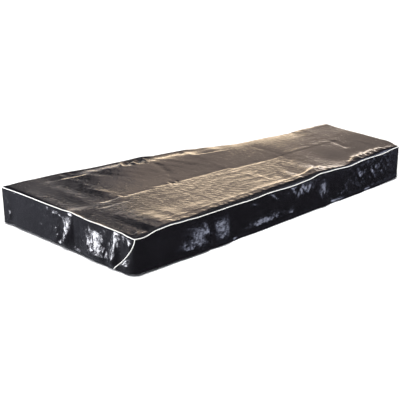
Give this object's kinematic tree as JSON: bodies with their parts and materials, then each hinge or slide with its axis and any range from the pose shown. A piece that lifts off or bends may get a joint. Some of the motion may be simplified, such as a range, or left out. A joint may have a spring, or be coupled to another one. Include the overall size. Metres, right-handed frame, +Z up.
{
  "type": "xylophone cover",
  "caption": "Tapered fitted vinyl cover that drops over a xylophone: creased top panel, short hemmed skirts and white piping along its seams.",
  "frame": {"origin": "underside of the top panel at its middle, where the cover rests on the xylophone", "axes": "+X along the length from the wide low-note end to the narrow high-note end, -Y to the front, +Z up"},
  "size_m": [1.4402, 0.7307, 0.1464],
  "materials": {
    "black_vinyl": "glossy cloth-backed vinyl, softly crinkled",
    "white_piping": "satin vinyl welt cord"
  },
  "bodies": {
    "root": {"top_panel": "black_vinyl", "front_skirt": "black_vinyl", "back_skirt": "black_vinyl", "wide_end_skirt": "black_vinyl", "narrow_end_skirt": "black_vinyl", "top_piping": "white_piping", "front_wide_piping": "white_piping", "front_narrow_piping": "white_piping", "back_narrow_piping": "white_piping", "back_wide_piping": "white_piping"}
  },
  "joints": []
}
